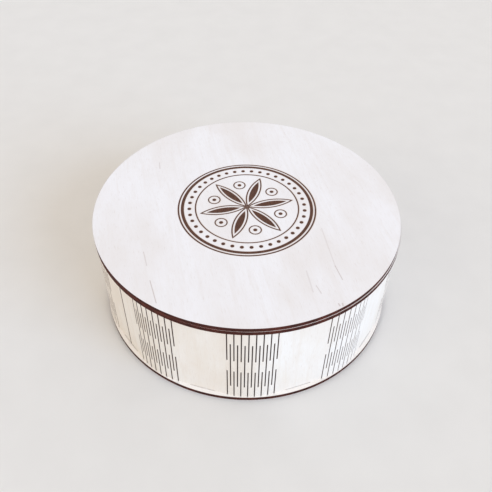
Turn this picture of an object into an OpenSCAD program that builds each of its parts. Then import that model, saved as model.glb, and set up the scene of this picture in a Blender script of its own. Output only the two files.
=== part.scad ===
// Round plywood box with a bent wall and a lift-off lid, cut from flat sheet.
// The wall is one strip: plain panels joined by groups of slits, the living hinges, which bend.
// Tabs on the panels stand in straight slots of the base disc and of the top ring.
// Millimetres. +Z is up, -Y is the front, and the origin is the centre of the underside.

/* [Discs] */
// Diameter of the base disc and of the top ring
disc_d = 220; // [200:1:260]
// Thickness of the base disc
base_t = 3; // [2:0.5:6]
// Thickness of the top ring
ring_t = 3; // [2:0.5:6]
// Width of the web of the ring between the slots and the hole
ring_web = 5; // [3:0.5:12]

/* [Wall] */
// Height of the wall from the base disc to the top ring
wall_h = 71; // [50:1:110]
// Thickness of the strip
wall_t = 3; // [2:0.5:4]
// Number of plain panels, and of bends between them
panel_count = 10; // [8:1:12]
// Distance from the edge of the base disc in to the wall, at the middle of a bend
wall_inset = 0.6; // [0.2:0.1:4]

/* [Living hinge] */
// Columns of slits in one bend
column_count = 15; // [9:2:17]
// Distance from column to column along the middle of the strip
column_pitch = 2.25; // [1.8:0.05:2.6]
// Width of a slit
slit_w = 0.5; // [0.3:0.05:0.8]
// Uncut length in the middle of a column whose two slits are open at the edges
middle_bridge = 12; // [6:0.5:20]
// Uncut length above and below the one slit of the other columns
end_bridge = 12; // [6:0.5:20]

/* [Tabs and seam] */
// Width of a tab
tab_w = 18; // [8:0.5:24]
// How far the end of a tab stays inside the face of its disc
tab_recess = 0.2; // [0.1:0.05:1]
// Gap between a tab and its slot, on each side
slot_gap = 0.2; // [0.05:0.05:0.4]
// Direction of the middle of the panel in which the two ends of the strip meet, seen from above
seam_angle = -141.5; // [-180:0.5:180]
// Gap between the two ends of the strip
seam_gap = 0.9; // [0.2:0.1:1.5]

/* [Lid] */
// Thickness of the lid disc
lid_t = 3; // [2:0.5:6]
// Thickness of the locating disc under the lid disc
locator_t = 3; // [2:0.5:6]
// How much smaller the lid disc is than the ring, on the radius
lid_margin = 0.3; // [0:0.1:2]
// Gap between the locating disc and the hole of the ring, on the radius
locator_gap = 0.8; // [0.5:0.1:2]
// How far the closed lid sits to the left of the middle, within that gap
lid_left = 0.45; // [0:0.05:0.5]
// How far the closed lid sits to the front of the middle, within that gap
lid_forward = 0.1; // [0:0.05:0.3]

/* [Hidden] */
$fn = 240;
// Length by which a cutting shape reaches past the sheet that it cuts
overcut = 1;
sheet_colour = "#EFE7DC";
strip_colour = "#EADFCB";

// Levels of the sheets
wall_z = base_t;
ring_z = wall_z + wall_h;
lid_z = ring_z + ring_t;

// Plan of the wall: in a bend the strip turns by one step at each column, and the staves between
// the columns stay flat, so the columns of a bend lie on a circle about the centre of that bend
sector = 360 / panel_count;
column_turn = sector / column_count;
bend_r = column_pitch / (2 * sin(column_turn / 2));
skin = wall_t / 2 / cos(column_turn / 2);
bend_centre = disc_d / 2 - wall_inset - bend_r - skin;
panel_in = bend_centre * cos(sector / 2) + (bend_r - skin) * cos(column_turn / 2);
edge_slit_l = (wall_h - middle_bridge) / 2;
notch_out = disc_d / 2 / cos(sector / 2);

// Height of the tabs at the foot and at the head of a panel
tab_foot = base_t - tab_recess;
tab_head = ring_t - tab_recess;

// Round parts of the ring and of the lid
hole_r = panel_in - slot_gap - ring_web;
lid_r = disc_d / 2 - lid_margin;
locator_r = hole_r - locator_gap;

// Directions of the panels, counted from the one with the seam, and of the bends that follow them
function panel_angle(i) = seam_angle + i * sector;
function bend_angle(i) = panel_angle(i) + sector / 2;
function column_angle(i, j) = bend_angle(i) + (j - (column_count - 1) / 2) * column_turn;

// Point at distance x out from the axis and y to the side, in the direction of panel i
function panel_point(i, x, y) =
    x * [cos(panel_angle(i)), sin(panel_angle(i))] + y * [-sin(panel_angle(i)), cos(panel_angle(i))];

// Outline of the wall seen from above, at distance r from the centres of the bends
function wall_outline(r) = [
    for (i = [0 : panel_count - 1], j = [0 : column_count - 1])
        bend_centre * [cos(bend_angle(i)), sin(bend_angle(i))]
            + r * [cos(column_angle(i, j)), sin(column_angle(i, j))]
];

// The bent strip at the full height of its tabs, before any cut
module bent_blank() {
    translate([0, 0, wall_z - tab_foot])
        linear_extrude(tab_foot + wall_h + tab_head)
            difference() {
                polygon(wall_outline(bend_r + skin));
                polygon(wall_outline(bend_r - skin));
            }
}

// Plan of the stretch from the tab of panel i to the tab of the next panel
function notch_outline(i) = [
    panel_point(i, panel_in - overcut, tab_w / 2),
    panel_point(i, notch_out, tab_w / 2),
    panel_point(i + 1, notch_out, -tab_w / 2),
    panel_point(i + 1, panel_in - overcut, -tab_w / 2)
];

// Cuts back both edges of the strip between two tabs
module edge_notches(i) {
    translate([0, 0, wall_z - tab_foot - overcut])
        linear_extrude(tab_foot + overcut)
            polygon(notch_outline(i));
    translate([0, 0, ring_z])
        linear_extrude(tab_head + overcut)
            polygon(notch_outline(i));
}

// One slit through the strip, from height z0 to height z1 of the wall
module slit(z0, z1) {
    translate([bend_r - skin - overcut, -slit_w / 2, z0])
        cube([2 * (skin + overcut), slit_w, z1 - z0]);
}

// Even columns are open at both edges of the strip, odd columns are closed
module slit_column(j) {
    if (j % 2 == 0) {
        slit(-overcut, edge_slit_l);
        slit(wall_h - edge_slit_l, wall_h + overcut);
    } else {
        slit(end_bridge, wall_h - end_bridge);
    }
}

// All the slits of one bend
module living_hinge(i) {
    rotate(bend_angle(i))
        translate([bend_centre, 0, wall_z])
            for (j = [0 : column_count - 1])
                rotate(column_angle(i, j) - bend_angle(i))
                    slit_column(j);
}

// Gap between the ends of the strip, through a panel and its tabs on the +X side
module seam_cut() {
    translate([panel_in - overcut, -seam_gap / 2, 0])
        cube([wall_t + 2 * overcut, seam_gap, lid_z]);
}

// Straight slots for the tabs, through a sheet of thickness t that lies on z = 0
module tab_slots(t) {
    for (i = [0 : panel_count - 1])
        rotate(panel_angle(i))
            translate([panel_in - slot_gap, -tab_w / 2 - slot_gap, -overcut])
                cube([wall_t + 2 * slot_gap, tab_w + 2 * slot_gap, t + 2 * overcut]);
}

module base_disc() {
    color(sheet_colour)
        difference() {
            cylinder(d = disc_d, h = base_t);
            tab_slots(base_t);
        }
}

module wall_strip() {
    color(strip_colour)
        difference() {
            bent_blank();
            for (i = [0 : panel_count - 1]) {
                edge_notches(i);
                living_hinge(i);
            }
            rotate(seam_angle)
                seam_cut();
        }
}

module top_ring() {
    color(sheet_colour)
        translate([0, 0, ring_z])
            difference() {
                cylinder(d = disc_d, h = ring_t);
                tab_slots(ring_t);
                translate([0, 0, -overcut])
                    cylinder(r = hole_r, h = ring_t + 2 * overcut);
            }
}

module lid_disc() {
    color(sheet_colour)
        translate([-lid_left, -lid_forward, lid_z])
            cylinder(r = lid_r, h = lid_t);
}

module lid_locating_disc() {
    color(sheet_colour)
        translate([-lid_left, -lid_forward, lid_z - locator_t])
            cylinder(r = locator_r, h = locator_t);
}

base_disc();
wall_strip();
top_ring();
lid_disc();
lid_locating_disc();
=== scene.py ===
# %% [markdown]
# # A round plywood box with a bent wall
#
# The real box is cut from thin birch plywood by a laser. Every piece is a flat sheet with scorched
# edges, and the wall is one long strip that bends because groups of slits make it soft in ten
# places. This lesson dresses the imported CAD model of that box. Each sheet stays where the CAD model
# has it, and gets true round edges, wood grain, burnt cuts and a carved lid. All lengths are in
# metres, +Z is up and -Y is the front.

# %% Load the frame
import math

import bpy
import numpy as np
from mathutils import Matrix, Vector


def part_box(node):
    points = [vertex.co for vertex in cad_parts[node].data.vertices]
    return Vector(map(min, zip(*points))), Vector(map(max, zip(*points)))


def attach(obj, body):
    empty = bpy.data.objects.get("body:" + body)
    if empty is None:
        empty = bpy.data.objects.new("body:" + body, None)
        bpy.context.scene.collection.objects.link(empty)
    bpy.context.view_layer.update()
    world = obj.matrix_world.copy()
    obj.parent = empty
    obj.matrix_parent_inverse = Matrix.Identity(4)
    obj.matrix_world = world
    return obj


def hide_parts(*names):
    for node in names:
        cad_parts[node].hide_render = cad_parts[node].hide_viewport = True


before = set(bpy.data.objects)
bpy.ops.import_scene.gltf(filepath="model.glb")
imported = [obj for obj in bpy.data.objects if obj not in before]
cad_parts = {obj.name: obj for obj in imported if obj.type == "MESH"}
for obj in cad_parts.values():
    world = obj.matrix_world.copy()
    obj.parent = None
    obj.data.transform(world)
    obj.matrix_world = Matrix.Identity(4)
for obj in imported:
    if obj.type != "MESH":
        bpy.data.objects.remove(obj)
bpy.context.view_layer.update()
scene = bpy.context.scene
MM = 0.001
print("CAD nodes:", sorted(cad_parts))

# %% [markdown]
# ## Sizes that come from the frame
#
# A dressed piece must lie exactly where its CAD node lies. Its sizes could be typed again, but a
# slip would then show as a gap or a step, so levels and radii are measured on the nodes. A node is
# made of straight facets: their corners lie on the true circle, and their sides cut inside it. So
# only corners are used, and a circle fitted through them also finds the middle of the lid, which
# lies a little off the axis.

# %% Measuring helpers
def node_points(name):
    """All corners of a CAD node, as an array of shape (count, 3)."""
    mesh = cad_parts[name].data
    flat = np.empty(3 * len(mesh.vertices), np.float32)
    mesh.vertices.foreach_get("co", flat)
    return flat.reshape(-1, 3).astype(float)


def radii(name):
    """Smallest and largest distance of a node's corners from the upright axis."""
    x, y, _ = node_points(name).T
    distance = np.hypot(x, y)
    return distance.min(), distance.max()


def circle_through(name):
    """Centre and radius of a plain disc: the circle that fits its corners best.

    Least squares of x^2 + y^2 = 2 a x + 2 b y + c gives the centre (a, b), and the radius is the
    root of c + a^2 + b^2.
    """
    x, y, _ = node_points(name).T
    terms = np.column_stack([2 * x, 2 * y, np.ones_like(x)])
    a, b, c = np.linalg.lstsq(terms, x * x + y * y, rcond=None)[0].tolist()
    return (a, b), math.sqrt(c + a * a + b * b)


def levels(name):
    """Lowest and highest z of a node."""
    low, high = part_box(name)
    return low.z, high.z


print("corners of the lid disc:", len(node_points("lid_disc")))

# %% Sizes of the sheets
base_z = levels("base_disc")
ring_z = levels("top_ring")
lid_z = levels("lid_disc")
locator_z = levels("lid_locating_disc")
wall_z = (base_z[1], ring_z[0])
disc_r = radii("base_disc")[1]
hole_r, ring_r = radii("top_ring")
wall_r = radii("wall_strip")[1]
lid_centre, lid_r = circle_through("lid_disc")
_, locator_r = circle_through("lid_locating_disc")
print(f"disc radius {disc_r / MM:.2f} mm, lid {lid_r / MM:.2f} mm, ring hole {hole_r / MM:.2f} mm")

# %% [markdown]
# ## The camera
#
# The photograph looks down on the box from the front. A camera could be pushed about by hand until
# the picture fits, but its place would then be hard to read or to correct. Here it stands at a
# distance and a height angle from the middle of the box's top, and three small turns aim it. The
# focal length is known in pixels of a square picture, and Blender wants it in millimetres on its
# sensor.

# %% Camera
PICTURE_PX = 492
FOCAL_PX = 586.3
SENSOR_MM = 36
NEAREST = 10 * MM
CAMERA_DISTANCE = 424.8 * MM
CAMERA_HEIGHT_ANGLE = math.radians(41.08)
AIM_BELOW = math.radians(3.863)
AIM_LEFT = math.radians(0.083)
AIM_ROLL = math.radians(1.13)

camera_data = bpy.data.cameras.new("camera")
camera_data.sensor_width = SENSOR_MM
camera_data.lens = SENSOR_MM * FOCAL_PX / PICTURE_PX
camera_data.clip_start = NEAREST
camera = bpy.data.objects.new("camera", camera_data)
scene.collection.objects.link(camera)
scene.camera = camera
box_top = Vector((0, 0, lid_z[1]))
reach = Vector((0, -math.cos(CAMERA_HEIGHT_ANGLE), math.sin(CAMERA_HEIGHT_ANGLE)))
aim = (
    Matrix.Rotation(math.pi / 2 - CAMERA_HEIGHT_ANGLE - AIM_BELOW, 4, "X")
    @ Matrix.Rotation(AIM_LEFT, 4, "Y")
    @ Matrix.Rotation(AIM_ROLL, 4, "Z")
)
camera.matrix_world = Matrix.Translation(box_top + CAMERA_DISTANCE * reach) @ aim
print("camera at", [round(x, 4) for x in camera.matrix_world.translation])

# %% [markdown]
# ## Helpers for node trees
#
# A finish is a tree of shader nodes. Such trees are often drawn by hand in the Shader Editor, where
# a long formula soon becomes a tangle. Written in code it stays readable, and all finishes share
# the same few helpers: `node` makes one node and fills or links its inputs, `blend_colour` goes
# from one colour to another, and `ramp` turns one range of numbers into another.

# %% Colours and nodes
def srgb(red, green, blue):
    """A colour given as 0 to 255 in sRGB, as the linear RGBA that Blender uses."""
    value = np.array([red, green, blue]) / 255
    linear = np.where(value <= 0.04045, value / 12.92, ((value + 0.055) / 1.055) ** 2.4)
    return (*linear.tolist(), 1.0)


def fill(tree, socket, value):
    """Links an output socket to an input, or sets the input's own value."""
    if isinstance(value, bpy.types.NodeSocket):
        tree.links.new(value, socket)
    else:
        socket.default_value = value


def node(tree, kind, inputs=None, **settings):
    """Adds a node of that kind, sets its properties, and fills its inputs by name or number."""
    made = tree.nodes.new(kind)
    for key, value in settings.items():
        setattr(made, key, value)
    for key, value in (inputs or {}).items():
        fill(tree, made.inputs[key], value)
    return made


def blend_colour(tree, share, first, second):
    """Colour that goes from first to second as share goes from 0 to 1.

    A Mix node has sockets for every data type: 0 is its share, and 6 and 7 are its two colours.
    """
    inputs = {0: share, 6: first, 7: second}
    return node(tree, "ShaderNodeMix", inputs, data_type="RGBA").outputs[2]


def ramp(tree, value, start, end, low=0.0, high=1.0):
    """Value mapped so that start gives low and end gives high, and held beyond them."""
    inputs = {"Value": value, "From Min": start, "From Max": end, "To Min": low, "To Max": high}
    return node(tree, "ShaderNodeMapRange", inputs, clamp=True).outputs["Result"]


print(f"sRGB 188 is {srgb(188, 188, 188)[0]:.2f} of full light")

# %% [markdown]
# A formula is a chain of Math nodes. `NodeMaths` gives each operation a short name, so that
# `maths.add(a, b)` makes the node and returns its output. Numpy can do the same operations on
# arrays, so a formula written with these names can shape a mesh as well as colour it.

# %% Formulas as nodes
class NodeMaths:
    """The operations that a formula needs, each as a Math node of one tree."""

    WORDS = {
        "add": "ADD", "sub": "SUBTRACT", "mul": "MULTIPLY", "low": "MINIMUM", "high": "MAXIMUM",
        "size": "ABSOLUTE", "floor": "FLOOR", "root": "SQRT", "sin": "SINE", "cos": "COSINE",
        "angle": "ARCTAN2",
    }

    def __init__(self, tree):
        self.tree = tree

    def __getattr__(self, word):
        """The operation of that name: it makes the Math node and returns its output."""

        def operate(*values):
            inputs = dict(enumerate(values))
            made = node(self.tree, "ShaderNodeMath", inputs, operation=self.WORDS[word])
            return made.outputs[0]

        return operate


print("formula words:", ", ".join(NodeMaths.WORDS))

# %% [markdown]
# ## Bare birch
#
# Birch veneer is peeled from the log like paper from a roll. It is pale and even, with soft clouds,
# faint streaks along the grain, short flecks and fine pores. A picture of real wood would have one
# scale only and would show where it repeats. Here each kind of mark is a noise that is stretched
# along the grain, and the four differ in how many turns they make across it. No more is needed,
# because peeled birch shows no rings.

# %% Birch finish
# Turns per metre across and along the grain, detail of the noise, noise levels at which the mark
# starts and is full, and its share of the colour there
VEINS = {
    "cloud": ((30, 12), 4, 0.4, 0.7, 0.85),
    "streak": ((300, 20), 4, 0.5, 0.75, 0.5),
    "fleck": ((1100, 150), 2, 0.5, 0.75, 0.38),
    "pore": ((2600, 160), 1, 0.66, 0.74, 0.28),
}
NOISE_ROUGHNESS = 0.55
# Range in which most values of a noise lie
NOISE_RANGE = (0.3, 0.7)
PORE_BROWN = srgb(200, 182, 166)
PORE_EDGE, PORE_SINK = (0.62, 0.74), 0.6
GRAIN_BUMP, GRAIN_DEPTH = 0.12, 0.2 * MM
BIRCH_ROUGHNESS = (0.5, 0.62)


def stretched_noise(tree, turns, across, along, layer, detail):
    """Noise with these turns per metre across and along the grain, in one layer of the sheet."""
    maths = NodeMaths(tree)
    place = {"X": maths.mul(across, turns[0]), "Y": maths.mul(along, turns[1]), "Z": layer}
    vector = node(tree, "ShaderNodeCombineXYZ", place).outputs[0]
    inputs = {"Vector": vector, "Scale": 1.0, "Detail": detail, "Roughness": NOISE_ROUGHNESS}
    return node(tree, "ShaderNodeTexNoise", inputs).outputs["Fac"]


def add_bump(tree, shader, relief, strength, depth):
    """Lets the light see a relief of that depth on the shader's surface."""
    inputs = {"Height": relief, "Strength": strength, "Distance": depth}
    fill(tree, shader.inputs["Normal"], node(tree, "ShaderNodeBump", inputs).outputs["Normal"])


def birch(tree, shader, tones, across, along, layer):
    """Birch veneer: the pale tone goes to the warm one by each mark in turn, and pores are brown.

    Sets the shader's roughness and bump, and returns the colour's socket for further marks.
    """
    colour, warm = tones
    noise = {}
    for mark, (turns, detail, start, full, share) in VEINS.items():
        noise[mark] = stretched_noise(tree, turns, across, along, layer, detail)
        tone = PORE_BROWN if mark == "pore" else warm
        colour = blend_colour(tree, ramp(tree, noise[mark], start, full, 0, share), colour, tone)
    pores = ramp(tree, noise["pore"], *PORE_EDGE, 0, PORE_SINK)
    add_bump(tree, shader, NodeMaths(tree).sub(noise["fleck"], pores), GRAIN_BUMP, GRAIN_DEPTH)
    roughness = ramp(tree, noise["streak"], *NOISE_RANGE, *BIRCH_ROUGHNESS)
    fill(tree, shader.inputs["Roughness"], roughness)
    return colour


print("turns per metre, across and along:", {mark: row[0] for mark, row in VEINS.items()})

# %% [markdown]
# ## Scorched edges
#
# A laser burns its way through the wood, so every cut is dark brown. On the edge of plywood the
# three veneers still show: the middle one shows its end grain and chars darker, and a thin glue
# line lies on either side of it. One even brown would look painted. The meshes below carry an
# attribute `depth` that runs from 0 on one face of a sheet to 1 on the other, and the finish finds
# the veneers from it, however the sheet is bent. A second attribute, `pale`, is painted light: the
# char of the cuts is made paler where strong light washes the cuts out.

# %% Scorched finish
CHAR_DARK = srgb(54, 24, 18)
CHAR_BROWN = srgb(100, 49, 38)
CHAR_GLUE = srgb(32, 15, 13)
# Painted light: a light brown, with the last share below, that the char of the cuts goes to where
# light washes them out
CHAR_PAINTED_LIGHT = srgb(172, 150, 136)
CHAR_SHARES, PAINTED_LIGHT_SHARE = (0.1, 0.9), 0.8
# Turns per metre and detail of the noise
CHAR_PATCHES, CHAR_FIBRES = (160, 3), (1500, 1)
CORE_EDGE, CORE_DARKER, CORE_SINK = (0.15, 0.18), 0.35, 0.5
GLUE_DEPTHS, GLUE_WIDTH, GLUE_SHARE = (0.33, 0.67), 0.035, 0.7
CHAR_BUMP, CHAR_DEPTH, FIBRE_RELIEF = 0.4, 0.15 * MM, 0.4


def new_finish(name, roughness=0.55, specular=0.35):
    """A material with its Principled shader, ready for colour and bump."""
    material = bpy.data.materials.new(name)
    material.use_nodes = True
    shader = material.node_tree.nodes["Principled BSDF"]
    shader.inputs["Roughness"].default_value = roughness
    shader.inputs["Specular IOR Level"].default_value = specular
    return material, material.node_tree, shader


def attribute(tree, name):
    """The value of a mesh attribute, as a socket."""
    return node(tree, "ShaderNodeAttribute", attribute_name=name).outputs["Fac"]


def even_noise(tree, turns, detail):
    """Noise with that many turns per metre in every direction."""
    place = node(tree, "ShaderNodeTexCoord").outputs["Object"]
    inputs = {"Vector": place, "Scale": turns, "Detail": detail}
    return node(tree, "ShaderNodeTexNoise", inputs).outputs["Fac"]


def scorched():
    """Burnt plywood edge: char between two browns, darker in the core, with two glue lines."""
    material, tree, shader = new_finish("scorched_edge", roughness=0.75, specular=0.15)
    maths = NodeMaths(tree)
    depth = attribute(tree, "depth")
    core = ramp(tree, maths.size(maths.sub(depth, 0.5)), *CORE_EDGE, 1, 0)
    char = ramp(tree, even_noise(tree, *CHAR_PATCHES), *NOISE_RANGE, *CHAR_SHARES)
    share = maths.sub(char, maths.mul(core, CORE_DARKER))
    colour = blend_colour(tree, share, CHAR_DARK, CHAR_BROWN)
    for glue_depth in GLUE_DEPTHS:
        apart = maths.size(maths.sub(depth, glue_depth))
        line = ramp(tree, apart, GLUE_WIDTH / 2, GLUE_WIDTH, GLUE_SHARE, 0)
        colour = blend_colour(tree, line, colour, CHAR_GLUE)
    # Painted light: where the attribute pale is set, the char is made paler towards a light brown
    pale = maths.mul(attribute(tree, "pale"), PAINTED_LIGHT_SHARE)
    fill(tree, shader.inputs["Base Color"], blend_colour(tree, pale, colour, CHAR_PAINTED_LIGHT))
    fibre = maths.mul(even_noise(tree, *CHAR_FIBRES), maths.add(core, FIBRE_RELIEF))
    add_bump(tree, shader, maths.sub(fibre, maths.mul(core, CORE_SINK)), CHAR_BUMP, CHAR_DEPTH)
    return material


scorched_edge = scorched()
print("finish made:", scorched_edge.name)

# %% [markdown]
# ## A sheet with cuts
#
# Every piece of the box is a sheet with cuts. Boolean modifiers could cut the slits one by one, but
# the wall has more than two hundred, and so many Booleans are slow and leave ragged faces. Here two
# families of lines divide the sheet into cells, and each cell is wood or a gap. Wood gets a quad on
# both faces, and wherever wood meets a gap or the border, a quad joins the two faces: that is the
# cut edge. The corners can then be put on any flat or bent surface.

# %% Cells to quads
FACE, CUT = 0, 1


def sheet_quads(wood, closed, capped):
    """Quads of a sheet whose cell (i, j) is wood where wood[i, j] is true, and the kind of each.

    Corner (i, j) of the upper face has the number i * T + j, where T is the count of lines of the
    second family, and the corners of the lower face follow in the same order. With closed, the
    last cell ends on the first line. With capped, wood goes on behind the last row.
    """
    cells, rows = wood.shape
    lines = cells if closed else cells + 1
    under = lines * (rows + 1)
    upper = np.arange(under).reshape(lines, rows + 1)
    here, there = upper[:cells], upper[(np.arange(cells) + 1) % lines]
    face = np.stack([here[:, :-1], there[:, :-1], there[:, 1:], here[:, 1:]], -1)[wood]
    quads = [face, face[:, ::-1] + under]
    left = np.roll(wood, 1, 0) if closed else np.pad(wood, ((1, 0), (0, 0)))
    right = wood if closed else np.pad(wood, ((0, 1), (0, 0)))
    below = np.pad(wood, ((0, 0), (1, 0)))
    above = np.pad(wood, ((0, 0), (0, 1)), constant_values=capped)
    borders = ((left, right, upper[:, :-1], upper[:, 1:]), (below, above, there, here))
    for before, after, first, second in borders:
        wall = np.stack([first, second, second + under, first + under], -1)
        quads += [wall[after & ~before], wall[before & ~after][:, ::-1]]
    quads = np.vstack(quads)
    kinds = np.repeat([FACE, CUT], [2 * len(face), len(quads) - 2 * len(face)])
    return quads, kinds


trial = np.ones((3, 3), bool)
trial[1, 1] = False
_, trial_kinds = sheet_quads(trial, closed=False, capped=False)
print("face and cut quads of 3 x 3 cells with one gap:", np.bincount(trial_kinds))

# %% [markdown]
# A finished piece is one mesh object that sits at the origin with its place in its mesh, as a CAD
# node does. It takes the place of that node and rides on the node's body.

# %% Piece helpers
def new_piece(name, points, faces, kinds, materials, fields):
    """A mesh object of these points and faces, with a material per kind and a float per corner."""
    mesh = bpy.data.meshes.new(name)
    mesh.from_pydata(points.tolist(), [], faces)
    mesh.polygons.foreach_set("material_index", np.asarray(kinds, np.int32))
    for field, values in fields.items():
        layer = mesh.attributes.new(field, "FLOAT", "POINT")
        layer.data.foreach_set("value", values.astype(np.float32))
    for material in materials:
        mesh.materials.append(material)
    mesh.update()
    piece = bpy.data.objects.new(name, mesh)
    scene.collection.objects.link(piece)
    print(f"{name}: {len(mesh.vertices)} points, {len(mesh.polygons)} faces")
    return piece


def stand_for(piece, cad_node, body):
    """The piece takes the place of its CAD node and moves with its body."""
    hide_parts(cad_node)
    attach(piece, body)


# %% [markdown]
# ## The wall strip
#
# The wall is flat in ten panels and bends in ten groups of slits. Between two slits the wood stays
# a flat stave, and only the short bridges twist. A smooth tube would be quick to make and would
# miss that: the plan of the wall is a polygon that turns by the same small angle at every column of
# slits. So the strip is cut flat and bent after, as the maker does it, and that opens each slit a
# little on the outside. Counts, pitches and widths are those of the CAD model.

# %% Plan of the wall
PANELS = 10
COLUMNS = 15
COLUMN_PITCH = 2.25 * MM
SHEET_T = 3.0 * MM
SEAM_ANGLE = math.radians(-141.5)

sector = 2 * math.pi / PANELS
column_turn = sector / COLUMNS
bend_r = COLUMN_PITCH / (2 * math.sin(column_turn / 2))
skin = SHEET_T / 2 / math.cos(column_turn / 2)
bend_centre = wall_r - bend_r - skin
panel_mid = bend_centre * math.cos(sector / 2) + bend_r * math.cos(column_turn / 2)


def direction(angle):
    """Unit vectors in the plan, at these angles."""
    return np.stack([np.cos(angle), np.sin(angle)], -1)


def column_points():
    """Plan of all the columns in the middle of the sheet, from the seam: centre of bend + arc."""
    bend = np.repeat(SEAM_ANGLE + (np.arange(PANELS) + 0.5) * sector, COLUMNS)
    step = np.tile((np.arange(COLUMNS) - (COLUMNS - 1) / 2) * column_turn, PANELS)
    return bend_centre * direction(bend) + bend_r * direction(bend + step)


print(f"bends of radius {bend_r / MM:.2f} mm, panels {panel_mid / MM:.2f} mm from the axis")

# %% Flats of the strip
columns = column_points()
seam = panel_mid * direction(np.array([SEAM_ANGLE]))
flat_starts = np.vstack([seam, columns])
flat_ends = np.vstack([columns, seam])
flat_lengths = np.linalg.norm(flat_ends - flat_starts, axis=1)
flat_along = (flat_ends - flat_starts) / flat_lengths[:, None]
flat_out = np.stack([flat_along[:, 1], -flat_along[:, 0]], 1)
strip_starts = np.concatenate([[0], np.cumsum(flat_lengths)[:-1]])
strip_l = flat_lengths.sum()
print(f"strip {strip_l / MM:.1f} mm long, in {len(flat_lengths)} flats")

# %% [markdown]
# The lines across the strip are the sides of every slit, a second line close to each for the width
# of the scorch mark, and the sides of the tabs. The lines along it are the ends of the slits, again
# with a second line, and the ends of the tabs. A slit is then simply a rectangle of cells that are
# not wood. Every second column is open at both edges of the strip, with a bridge in the middle, and
# the others are closed at both ends.

# %% Lines of the strip
SLIT_W = 0.5 * MM
SEAM_GAP = 0.9 * MM
SCORCH_W = 0.28 * MM
BRIDGE = 12.0 * MM
TAB_W = 18.0 * MM
TAB_RECESS = 0.2 * MM

gaps = np.full(len(flat_lengths) + 1, SLIT_W)
gaps[[0, -1]] = SEAM_GAP
first = strip_starts + gaps[:-1] / 2
last = strip_starts + flat_lengths - gaps[1:] / 2
panel_step = strip_l / PANELS
tab_middles = np.arange(PANELS + 1) * panel_step
tab_sides = np.sort(np.concatenate([tab_middles - TAB_W / 2, tab_middles + TAB_W / 2]))[1:-1]
line_strip = np.sort(np.concatenate([first, first + SCORCH_W, last - SCORCH_W, last, tab_sides]))
line_flat = np.searchsorted(strip_starts, line_strip, "right") - 1
line_place = line_strip - strip_starts[line_flat]

wall_h = wall_z[1] - wall_z[0]
slit_end = (wall_h - BRIDGE) / 2
tab_foot = base_z[1] - base_z[0] - TAB_RECESS
tab_head = ring_z[1] - ring_z[0] - TAB_RECESS
lower = np.array([0, SCORCH_W, BRIDGE - SCORCH_W, BRIDGE, slit_end, slit_end + SCORCH_W])
heights = np.concatenate([[-tab_foot], lower, wall_h - lower[::-1], [wall_h + tab_head]])
print(f"{len(line_strip)} lines across the strip and {len(heights)} along it")

# %% Cells of the strip
row_middle = (heights[:-1] + heights[1:]) / 2
from_middle = np.abs(row_middle - wall_h / 2)
in_wall = from_middle < wall_h / 2
cell_middle = (line_strip[:-1] + line_strip[1:]) / 2
in_tab = np.abs((cell_middle + panel_step / 2) % panel_step - panel_step / 2) < TAB_W / 2
is_column = line_flat[1:] != line_flat[:-1]
is_closed = line_flat[:-1] % COLUMNS % 2 == 1
edge_slit = (is_column & ~is_closed)[:, None] & in_wall & (from_middle > BRIDGE / 2)
middle_slit = (is_column & is_closed)[:, None] & (from_middle < wall_h / 2 - BRIDGE)
slit = edge_slit | middle_slit
wood = (in_wall | in_tab[:, None]) & ~slit
print(f"{wood.size} cells, {slit.sum()} of them in slits")

# %% [markdown]
# The wall's wood is birch with upright grain. Grain on plain object coordinates would smear where
# the wall turns away, so the attribute `along` says how far along the strip each corner lies, and
# the grain follows the strip round the bends. Beside each cut the laser leaves a narrow brown mark.
# It could be found by a search for the nearest cut, but the mesh already has a line at the mark's
# width, so the attribute `scorch` is 1 on the cut and 0 on that line, and Blender blends between.

# %% Wall finish
# Birch like the lid's; the wall's warmer tone is painted warm bounce light
STRIP_TONES_AND_WARM_LIGHT = (srgb(242, 236, 228), srgb(231, 219, 204))
# Noise layer of the outside, and how far the inside lies from it
STRIP_LAYER, INSIDE_STEP = 18.2, 7.0
SCORCH_BROWN, SCORCH_SHARE = srgb(74, 46, 36), 0.85


def object_axes(tree, turn=0.0, centre=(0.0, 0.0)):
    """Object coordinates from an upright axis through the centre, turned, as three sockets."""
    place = node(tree, "ShaderNodeTexCoord").outputs["Object"]
    inputs = {"Vector": place, "Location": (*centre, 0), "Rotation": (0, 0, turn)}
    moved = node(tree, "ShaderNodeMapping", inputs, vector_type="TEXTURE").outputs[0]
    return node(tree, "ShaderNodeSeparateXYZ", {"Vector": moved}).outputs


def scorch_marks(tree, colour):
    """The colour, darkened beside a cut, and less so where painted light makes the cuts paler."""
    maths = NodeMaths(tree)
    near = maths.mul(attribute(tree, "scorch"), SCORCH_SHARE)
    # Painted light: the scorch mark fades where the attribute pale is set
    burn = maths.mul(near, maths.sub(1.0, attribute(tree, "pale")))
    return blend_colour(tree, burn, colour, SCORCH_BROWN)


def strip_birch():
    """Birch whose grain stands upright on the strip, with scorch marks beside the slits."""
    material, tree, shader = new_finish("strip_birch")
    maths = NodeMaths(tree)
    height = object_axes(tree)[2]
    layer = maths.add(maths.mul(attribute(tree, "depth"), INSIDE_STEP), STRIP_LAYER)
    colour = birch(tree, shader, STRIP_TONES_AND_WARM_LIGHT, attribute(tree, "along"), height, layer)
    fill(tree, shader.inputs["Base Color"], scorch_marks(tree, colour))
    return material


strip_finish = strip_birch()
print(f"{strip_finish.name}: {len(strip_finish.node_tree.nodes)} nodes")

# %% [markdown]
# Now the flat cells are put on the bent plan. Blender's Simple Deform could bend a strip too, but
# only evenly, and this one bends in steps. Each line across the strip lies on one flat of the plan,
# so its corners are half a sheet outside and half a sheet inside of that flat. The attribute `pale`
# is painted light: the cuts keep their dark char across the front of the box and are painted paler
# to both sides, where light washes them out.

# %% Wall piece
# Middle of the dark char, and from it the start and end of the painted light, in strip shares
DARK_CHAR_MIDDLE = 0.1
PAINTED_LIGHT_FADE = (0.08, 0.17)


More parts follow.
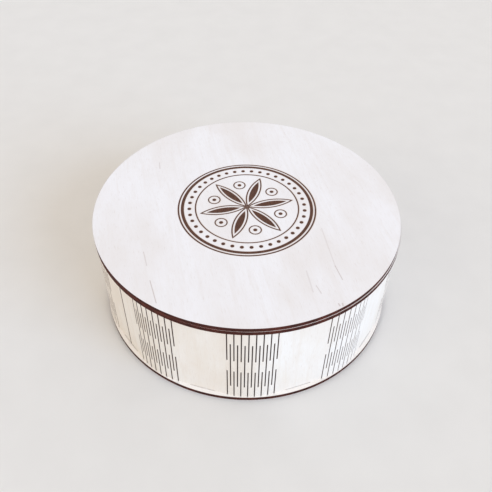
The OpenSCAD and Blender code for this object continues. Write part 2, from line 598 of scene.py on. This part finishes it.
def bent_points():
    """Corners of both faces: flat plus and minus half the sheet along its outward normal."""
    middle = flat_starts[line_flat] + line_place[:, None] * flat_along[line_flat]
    half_sheet = SHEET_T / 2 * flat_out[line_flat]
    plan = np.stack([middle + half_sheet, middle - half_sheet])[:, :, None, :]
    points = np.empty((2, len(line_flat), len(heights), 3))
    points[..., :2] = plan
    points[..., 2] = wall_z[0] + heights
    return points.reshape(-1, 3)


def dark_char_share():
    """Dark char on the cuts of each line: 1 near its middle, 0 where painted light is full."""
    share = line_strip / strip_l - DARK_CHAR_MIDDLE
    return np.interp(np.abs((share + 0.5) % 1 - 0.5), PAINTED_LIGHT_FADE, (1, 0))


def wall_fields():
    """Values of the attributes at the corners of both faces, outside first."""
    touching = np.pad(slit, 1)
    touching = touching[:-1] | touching[1:]
    touching = touching[:, :-1] | touching[:, 1:]
    touching[[0, -1]] = True
    on_wall = (heights >= 0) & (heights <= wall_h)
    one_face = {
        "along": np.repeat(line_strip, len(heights)),
        "scorch": touching.ravel(),
        # Painted light: pale rises to 1 where the cuts are painted paler, on the wall only, not on
        # the tabs
        "pale": np.outer(1 - dark_char_share(), on_wall).ravel(),
    }
    fields = {field: np.tile(values, 2) for field, values in one_face.items()}
    fields["depth"] = np.repeat([0.0, 1.0], touching.size)
    return fields


def wall_piece():
    """The cells of the strip on the bent corners, without the corners that no cell uses."""
    quads, kinds = sheet_quads(wood, closed=False, capped=False)
    used, quads = np.unique(quads, return_inverse=True)
    fields = {field: values[used] for field, values in wall_fields().items()}
    finishes = [strip_finish, scorched_edge]
    faces = quads.reshape(-1, 4).tolist()
    return new_piece("wall_sheet", bent_points()[used], faces, kinds, finishes, fields)


wall_sheet = wall_piece()
stand_for(wall_sheet, "wall_strip", "box")

# %% [markdown]
# ## The base disc and the top ring
#
# Both discs have ten straight slots that take the tabs of the wall. A disc made with Blender's own
# cylinder would need Booleans for them. As a sheet of cells it needs only lines that follow the
# slots: each line round the disc runs straight along a slot and on an arc to the next one. The base
# is closed by a fan of triangles in the middle, and the ring has its hole there.

# %% Lines of the discs
SLOT_GAP = 0.2 * MM
SLOT_STEPS = 8
ARC_STEPS = 32


def slot_line(distance):
    """Closed line: straight at that distance from the axis along a slot, an arc between slots."""
    half_slot = TAB_W / 2 + SLOT_GAP
    edge = math.atan2(half_slot, distance)
    side = np.linspace(-half_slot, half_slot, SLOT_STEPS, endpoint=False)
    arc = np.linspace(edge, sector - edge, ARC_STEPS, endpoint=False)
    straight = np.stack([np.full(SLOT_STEPS, distance), side], 1)
    x, y = np.vstack([straight, math.hypot(half_slot, distance) * direction(arc)]).T
    cos, sin = direction(SEAM_ANGLE + np.arange(PANELS) * sector).T[..., None]
    return np.stack([(x * cos - y * sin).ravel(), (x * sin + y * cos).ravel()], 1)


def round_line(radius, beside):
    """Circle with one point in the direction of each point of the line beside it."""
    return radius * direction(np.arctan2(beside[:, 1], beside[:, 0]))


slot_out = slot_line(panel_mid + SHEET_T / 2 + SLOT_GAP)
slot_in = slot_line(panel_mid - SHEET_T / 2 - SLOT_GAP)
print(f"{len(slot_out)} points on each line of a disc")

# %% Flat boards
RIM_SCORCH_W = 0.08 * MM
CREASE = math.radians(30)


def cap_fan(rim, middle):
    """Triangles from every side of a closed rim to one point in the middle."""
    return np.stack([rim, np.roll(rim, -1), np.full(len(rim), middle)], 1).tolist()


def smooth_rounds(piece):
    """Shades the round edges smoothly and keeps the sharp corners of the cuts."""
    piece.data.polygons.foreach_set("use_smooth", np.ones(len(piece.data.polygons), bool))
    piece.data.set_sharp_from_angle(angle=CREASE)


def flat_board(name, z, rings, scorch, wood, material, centre=None):
    """Flat sheet between closed lines of the plan, from the outermost inwards, at two levels.

    Corner (i, j) is point i of ring j, and scorch has one value per ring. Where a centre is given,
    a fan round it fills both faces inside the last ring.
    """
    plan = np.stack(rings, 1)
    flat = plan.reshape(-1, 2)
    count = len(flat)
    points = np.vstack([np.column_stack([flat, np.full(count, level)]) for level in z[::-1]])
    fields = {"depth": np.repeat([0.0, 1.0], count), "scorch": np.tile(scorch, 2 * len(plan))}
    quads, kinds = sheet_quads(wood, closed=True, capped=centre is not None)
    faces, kinds = quads.tolist(), kinds.tolist()
    if centre is not None:
        rim = np.arange(len(plan)) * len(rings) + len(rings) - 1
        faces += cap_fan(rim, 2 * count) + cap_fan(rim[::-1] + count, 2 * count + 1)
        kinds += [FACE] * (2 * len(rim))
        points = np.vstack([points, [(*centre, z[1]), (*centre, z[0])]])
        fields["depth"] = np.append(fields["depth"], [0, 1])
        fields["scorch"] = np.append(fields["scorch"], [0, 0])
    piece = new_piece(name, points, faces, kinds, [material, scorched_edge], fields)
    smooth_rounds(piece)
    return piece


def slotted_board(name, z, outer_r, inner_r, material):
    """Disc with ten slots, from outer_r in to a hole of inner_r, or to the middle if it is None."""
    rim, inside = round_line(outer_r, slot_out), round_line(outer_r - RIM_SCORCH_W, slot_out)
    rings, scorch, centre = [rim, inside, slot_out, slot_in], [1, 0, 0, 0], (0.0, 0.0)
    if inner_r is not None:
        rings += [round_line(inner_r + RIM_SCORCH_W, slot_in), round_line(inner_r, slot_in)]
        scorch, centre = scorch + [0, 1], None
    wood = np.ones((len(slot_in), len(rings) - 1), bool)
    in_slot = np.arange(len(slot_in)) % (SLOT_STEPS + ARC_STEPS) < SLOT_STEPS
    # Row 2 lies between slot_out and slot_in
    wood[in_slot, 2] = False
    return flat_board(name, z, rings, scorch, wood, material, centre)


print(f"rims scorched {RIM_SCORCH_W / MM:.2f} mm wide")

# %% [markdown]
# With the lid on, only narrow ledges of these two discs show, and more of them when it is lifted.
# One finish would do for both, but two discs of one box are never cut from the same spot of a
# sheet. So each has its grain turned another way and taken from another layer of the noise.

# %% Base and ring
BOX_TONES = (srgb(250, 244, 237), srgb(244, 236, 227))
# Turn of the grain, and layer of the noise, so that no two sheets look alike
BASE_GRAIN = (0.4, 3.1)
RING_GRAIN = (1.1, 11.7)


def sheet_birch(name, tones, turn, layer):
    """Birch of a flat disc in two tones, with its grain turned by that angle from the Y axis."""
    material, tree, shader = new_finish(name)
    across, along, _ = object_axes(tree, turn)
    colour = birch(tree, shader, tones, across, along, layer)
    fill(tree, shader.inputs["Base Color"], scorch_marks(tree, colour))
    return material


base_finish = sheet_birch("base_birch", BOX_TONES, *BASE_GRAIN)
base_board = slotted_board("base_board", base_z, disc_r, None, base_finish)
stand_for(base_board, "base_disc", "box")
ring_finish = sheet_birch("ring_birch", BOX_TONES, *RING_GRAIN)
ring_board = slotted_board("ring_board", ring_z, ring_r, hole_r, ring_finish)
stand_for(ring_board, "top_ring", "box")

# %% [markdown]
# ## The carving on the lid
#
# A laser can also burn a shallow pattern into the face. Here it is a plain rosette, an ornament
# that carvers have drawn with a compass for centuries: six petals inside rings and beads. It could
# be drawn as curves and cut in, but one formula is shorter and serves both the shape and the
# colour. It gives the distance to the nearest burnt line: negative inside it, positive outside.
# Folding the angle into one sixth of the circle draws all the petals with one circle.

# %% Rosette formula
ROSETTE_R = 50 * MM
# Radius and half width of each ring
RINGS = ((49.4 * MM, 0.55 * MM), (46.6 * MM, 1.1 * MM), (37.2 * MM, 0.45 * MM))
BEADS, BEAD_PATH_R, BEAD_R = 40, 41.6 * MM, 1.35 * MM
# The circle of a petal's side passes through the middle, with its centre in that direction
PETALS, PETAL_R, PETAL_CENTRE = 6, 34.5 * MM, -math.pi / 3
PETAL_LINE, PETAL_MARGIN = 0.9 * MM, 2.2 * MM
EYE_PATH_R, EYE_R, EYE_DOT_R, EYE_LINE = 25 * MM, 4.2 * MM, 1.4 * MM, 0.8 * MM


class ArrayMaths:
    """The words of NodeMaths, for numpy arrays."""

    add, sub, mul = np.add, np.subtract, np.multiply
    low, high = np.minimum, np.maximum
    size, floor, root = np.abs, np.floor, np.sqrt
    sin, cos, angle = np.sin, np.cos, np.arctan2


def rosette(maths, x, y):
    """Distance to the burnt lines: the least of rings, beads, petals, petal hearts and eyes."""

    def length(a, b):
        """Root of a^2 + b^2."""
        return maths.root(maths.add(maths.mul(a, a), maths.mul(b, b)))

    def band(distance, half_width):
        """Distance to a band that reaches half_width to both sides of a line."""
        return maths.sub(maths.size(distance), half_width)

    def fold(count):
        """Angle from the middle of the nearest of count equal sectors."""
        step = 2 * math.pi / count
        turns = maths.floor(maths.add(maths.mul(angle, 1 / step), 0.5))
        return maths.sub(angle, maths.mul(turns, step))

    def spot(folded, path_r, at_angle):
        """Distance to the point at path_r and at_angle, repeated as the angle is folded."""
        across = maths.sub(maths.mul(radius, maths.cos(folded)), path_r * math.cos(at_angle))
        along = maths.sub(maths.mul(radius, maths.sin(folded)), path_r * math.sin(at_angle))
        return length(across, along)

    radius, angle = length(x, y), maths.angle(y, x)
    sixth = maths.size(fold(PETALS))
    petal = maths.sub(spot(sixth, PETAL_R, PETAL_CENTRE), PETAL_R)
    eye = spot(sixth, EYE_PATH_R, math.pi / PETALS)
    burnt = [band(maths.sub(radius, ring), half_width) for ring, half_width in RINGS]
    burnt += [
        maths.sub(spot(fold(BEADS), BEAD_PATH_R, 0), BEAD_R),
        band(maths.add(petal, PETAL_LINE / 2), PETAL_LINE / 2),
        maths.add(petal, PETAL_MARGIN),
        band(maths.sub(eye, EYE_R), EYE_LINE / 2),
        maths.sub(eye, EYE_DOT_R),
    ]
    nearest = burnt[0]
    for other in burnt[1:]:
        nearest = maths.low(nearest, other)
    return nearest


sample = np.linspace(0, ROSETTE_R, 6)
distances = rosette(ArrayMaths, sample, np.zeros_like(sample))
print("distances on one line, mm:", np.round(distances / MM, 2))

# %% [markdown]
# ## The lid
#
# The lid's face is birch with the burnt rosette and a few thin brown marks, which minerals leave in
# the wood. The marks could be painted by hand on a picture, but each is only a short straight
# segment, and the distance to a segment is an easy formula.

# %% Wood marks
MARK_BROWN = srgb(138, 102, 80)
# Start and end from the middle of the lid, and half width, all in millimetres; then strength
WOOD_MARKS = (
    ((-68.2, -47.9), (-64.4, -60.3), 0.5, 0.30),
    ((-60.6, -73.2), (-54.4, -91.4), 0.45, 0.50),
    ((52.2, -21.6), (58.4, -57.2), 0.55, 0.18),
    ((58.4, -57.2), (62.0, -69.1), 0.5, 0.45),
    ((39.3, -62.1), (42.5, -80.0), 0.7, 0.20),
    ((44.9, -74.8), (47.5, -80.9), 0.6, 0.30),
    ((-69.3, 50.1), (-68.0, 42.5), 0.6, 0.30),
    ((57.6, -89.1), (58.2, -90.7), 0.8, 0.40),
    ((60.0, -88.7), (60.2, -90.6), 0.8, 0.40),
)


def wood_mark(tree, x, y, start, end, half_width):
    """1 on a thin mark and 0 from its edge on, by the distance to the segment start to end."""
    maths = NodeMaths(tree)
    (start_x, start_y), (step_x, step_y) = start, np.subtract(end, start).tolist()
    length = math.hypot(step_x, step_y)
    ux, uy = step_x / length, step_y / length
    dx, dy = maths.sub(x, start_x * MM), maths.sub(y, start_y * MM)
    along = maths.add(maths.mul(dx, ux), maths.mul(dy, uy))
    beside = maths.sub(maths.mul(dx, uy), maths.mul(dy, ux))
    middle = length / 2 * MM
    past = maths.high(maths.sub(maths.size(maths.sub(along, middle)), middle), 0.0)
    distance = maths.root(maths.add(maths.mul(beside, beside), maths.mul(past, past)))
    return ramp(tree, distance, 0, half_width * MM, 1, 0)


print(len(WOOD_MARKS), "wood marks")

# %% Lid finish
LID_TONES = (srgb(245, 242, 242), srgb(235, 228, 223))
LID_TURN = math.radians(14)
LID_LAYER = 28.1
BURN_DARK = srgb(70, 40, 28)
BURN_LIGHT = srgb(100, 62, 44)
BURN_TURNS, BURN_LAYER, BURN_DETAIL, BURN_EDGE = (900, 250), 4.0, 2, 0.08 * MM
HALO, HALO_W, HALO_SHARE = srgb(196, 160, 128), 0.5 * MM, 0.5


def lid_birch():
    """Birch of the lid's face, with its wood marks and the burnt rosette."""
    material, tree, shader = new_finish("lid_birch")
    maths = NodeMaths(tree)
    x, y, _ = object_axes(tree, 0.0, lid_centre)
    across, along, _ = object_axes(tree, LID_TURN, lid_centre)
    colour = birch(tree, shader, LID_TONES, across, along, LID_LAYER)
    for start, end, half_width, strength in WOOD_MARKS:
        mark = maths.mul(wood_mark(tree, x, y, start, end, half_width), strength)
        colour = blend_colour(tree, mark, colour, MARK_BROWN)
    distance = rosette(maths, across, along)
    char = stretched_noise(tree, BURN_TURNS, across, along, BURN_LAYER, BURN_DETAIL)
    burn = blend_colour(tree, ramp(tree, char, *NOISE_RANGE), BURN_DARK, BURN_LIGHT)
    colour = blend_colour(tree, ramp(tree, distance, 0, HALO_W, HALO_SHARE, 0), colour, HALO)
    colour = blend_colour(tree, ramp(tree, distance, -BURN_EDGE, BURN_EDGE, 1, 0), colour, burn)
    fill(tree, shader.inputs["Base Color"], scorch_marks(tree, colour))
    return material


lid_finish = lid_birch()
print(f"{lid_finish.name}: {len(lid_finish.node_tree.nodes)} nodes")

# %% [markdown]
# The carving has to be real, because it catches the light at its edges. A disc of rings and spokes
# would crowd its points in the middle, so the top is a grid of squares mapped onto a disc, with
# most of its lines where the rosette is. The height of each point comes from the rosette's formula,
# and so the burnt colour lies exactly in the carved lines.

# %% Grid of the lid
def disc_grid(lines, outer_r, fine_r, fine_share, border_w):
    """Square grid mapped onto a disc: the larger coordinate is the radius, the smaller the angle.

    The first fine_share of the lines lie evenly within fine_r, and the rest run out to outer_r,
    with the last but one at border_w from it.
    """
    steps = np.linspace(-1, 1, lines + 1)
    a, b = np.meshgrid(steps, steps, indexing="ij")
    wide = np.abs(a) > np.abs(b)
    far, near = np.where(wide, a, b), np.where(wide, b, a)
    slant = near / np.where(far == 0, 1, far) * math.pi / 4
    angle = np.where(wide, slant, math.pi / 2 - slant)
    shares, places = [0, fine_share, 1 - 2 / lines, 1], [0, fine_r, outer_r - border_w, outer_r]
    radius = np.sign(far) * np.interp(np.abs(far), shares, places)
    return radius[..., None] * direction(angle)


def grid_border(number):
    """Corner numbers of the border of a square grid, anticlockwise."""
    sides = number[:-1, 0], number[-1, :-1], number[:0:-1, -1], number[0, :0:-1]
    return np.concatenate(sides)


small = disc_grid(4, 1.0, 0.5, 0.5, 0.1)
print("radii of a small grid:", np.unique(np.hypot(small[..., 0], small[..., 1]).round(3)))

# %% Lid piece
LID_LINES = 280
FINE_R = ROSETTE_R + MM
FINE_SHARE = 0.84
CARVE_DEPTH = 0.35 * MM
CARVE_SLOPE = 0.35 * MM
UNDER_LAYER = 17.9
UNDER = 2


def lid_piece():
    """Disc whose top is z = lid top - depth of the carving, upright at its edge and flat below."""
    plan = disc_grid(LID_LINES, lid_r, FINE_R, FINE_SHARE, RIM_SCORCH_W)
    x, y = plan[..., 0], plan[..., 1]
    cos, sin = math.cos(LID_TURN), math.sin(LID_TURN)
    distance = rosette(ArrayMaths, x * cos + y * sin, y * cos - x * sin)
    carved = CARVE_DEPTH * np.clip(0.5 - distance / CARVE_SLOPE, 0, 1)
    top = np.dstack([plan + lid_centre, lid_z[1] - carved]).reshape(-1, 3)
    number = np.arange(len(top)).reshape(x.shape)
    rim = grid_border(number)
    foot = np.vstack([top[rim], [(*lid_centre, 0)]])
    foot[:, 2] = lid_z[0]
    below = len(top) + np.arange(len(rim))
    face = np.stack([number[:-1, :-1], number[1:, :-1], number[1:, 1:], number[:-1, 1:]], -1)
    face = face.reshape(-1, 4).tolist()
    edge = np.stack([np.roll(rim, -1), rim, below, np.roll(below, -1)], 1).tolist()
    fan = cap_fan(below[::-1], len(top) + len(rim))
    kinds = np.repeat([FACE, CUT, UNDER], [len(face), len(edge), len(fan)])
    scorch = np.zeros(len(top) + len(foot))
    scorch[rim] = 1
    fields = {"depth": np.repeat([0.0, 1.0], [len(top), len(foot)]), "scorch": scorch}
    under_finish = sheet_birch("lid_under_birch", LID_TONES, LID_TURN, UNDER_LAYER)
    finishes = [lid_finish, scorched_edge, under_finish]
    points = np.vstack([top, foot])
    piece = new_piece("lid_board", points, face + edge + fan, kinds, finishes, fields)
    smooth_rounds(piece)
    return piece


lid_board = lid_piece()
stand_for(lid_board, "lid_disc", "lid")

# %% [markdown]
# ## The locating disc
#
# Under the lid sits a smaller disc that drops into the ring and keeps the lid in place. It shows
# only when the lid is lifted. Blender's cylinder would give its shape, but not the attributes that
# the finishes read. So the helper of the other discs makes it, from two circles and a fan.

# %% Locating disc
LOCATOR_STEPS = 400
LOCATOR_GRAIN = (0.9, 29.4)

turn = np.linspace(0, 2 * math.pi, LOCATOR_STEPS, endpoint=False)
circle_radii = (locator_r, locator_r - RIM_SCORCH_W)
circles = [radius * direction(turn) + lid_centre for radius in circle_radii]
one_row = np.ones((LOCATOR_STEPS, 1), bool)
locator_finish = sheet_birch("locator_birch", LID_TONES, *LOCATOR_GRAIN)
locator_board = flat_board(
    "locator_board", locator_z, circles, [1, 0], one_row, locator_finish, lid_centre
)
stand_for(locator_board, "lid_locating_disc", "lid")

# %% [markdown]
# ## The floor
#
# The box stands on a plain pale floor. It lies a hair below the box, so that the two surfaces don't
# flicker into each other, and it reaches far enough to fill the picture from every side. Blender's
# own plane would do as well, and four corners keep it in the form of the other pieces. It is only
# the stage, so it rides on no body.

# %% Floor
FLOOR_HALF = 8.0
FLOOR_DROP = 0.1 * MM
FLOOR_TONES = (srgb(232, 228, 222), srgb(229, 225, 219))
# Turns per metre and detail of the noise
FLOOR_MOTTLE = (30, 4)


def floor_piece():
    """Square plain floor just below the box."""
    corners = np.array([[-1, -1], [1, -1], [1, 1], [-1, 1]]) * FLOOR_HALF
    points = np.column_stack([corners, np.full(4, -FLOOR_DROP)])
    material, tree, shader = new_finish("pale_floor", roughness=0.85)
    mottle = ramp(tree, even_noise(tree, *FLOOR_MOTTLE), *NOISE_RANGE)
    fill(tree, shader.inputs["Base Color"], blend_colour(tree, mottle, *FLOOR_TONES))
    return new_piece("floor", points, [[0, 1, 2, 3]], [FACE], [material], {})


floor = floor_piece()

# %% [markdown]
# ## Light
#
# The light is soft: a cool window at the right makes that side of the wall the brightest, a weak
# warm lamp at the left keeps the shaded side open, and an even sky fills the rest. Area lamps near
# the box would leave bright patches on the floor, so both lamps are suns with a wide angle, which
# act like large windows far away. What the camera sees behind the floor is a pale colour that does
# not light the box.

# %% Lamps and sky
LAMP_ANGLE = math.radians(40)
# Direction in which the lamp stands, strength and tint
LAMPS = {
    "window_right": ((1.7, -1.3, 0.9), 2.0, (0.49, 0.69, 1.0)),
    "warm_left": ((-1.6, -1.2, 0.92), 0.33, (1.0, 0.93, 0.75)),
}
SKY_STRENGTH = 0.82
SKY_TINT = (1.0, 0.962, 0.935, 1.0)
BACKGROUND = srgb(238, 236, 233)


def add_lamp(name, place, strength, tint):
    """Far lamp in that direction, as wide in the sky as a window: a sun with a large angle."""
    data = bpy.data.lights.new(name, "SUN")
    data.angle, data.energy, data.color = LAMP_ANGLE, strength, tint
    lamp = bpy.data.objects.new(name, data)
    aimed = (-Vector(place)).to_track_quat("-Z", "Y")
    lamp.matrix_world = Matrix.Translation(place) @ aimed.to_matrix().to_4x4()
    scene.collection.objects.link(lamp)


def add_sky():
    """Even sky light, and a pale background for what the camera and mirrors see."""
    world = bpy.data.worlds.new("studio")
    world.use_nodes = True
    tree = world.node_tree
    tree.nodes.clear()
    maths = NodeMaths(tree)
    light = node(tree, "ShaderNodeBackground", {"Color": SKY_TINT, "Strength": SKY_STRENGTH})
    seen = node(tree, "ShaderNodeBackground", {"Color": BACKGROUND, "Strength": 1.0})
    ray = node(tree, "ShaderNodeLightPath").outputs
    mirrored = maths.high(ray["Is Glossy Ray"], ray["Is Transmission Ray"])
    sees = maths.high(ray["Is Camera Ray"], mirrored)
    mix = node(tree, "ShaderNodeMixShader", {0: sees, 1: light.outputs[0], 2: seen.outputs[0]})
    node(tree, "ShaderNodeOutputWorld", {"Surface": mix.outputs[0]})
    scene.world = world


for lamp_name, (place, strength, tint) in LAMPS.items():
    add_lamp(lamp_name, place, strength, tint)
add_sky()
scene.view_settings.view_transform = "Standard"
print("lamps:", ", ".join(LAMPS))
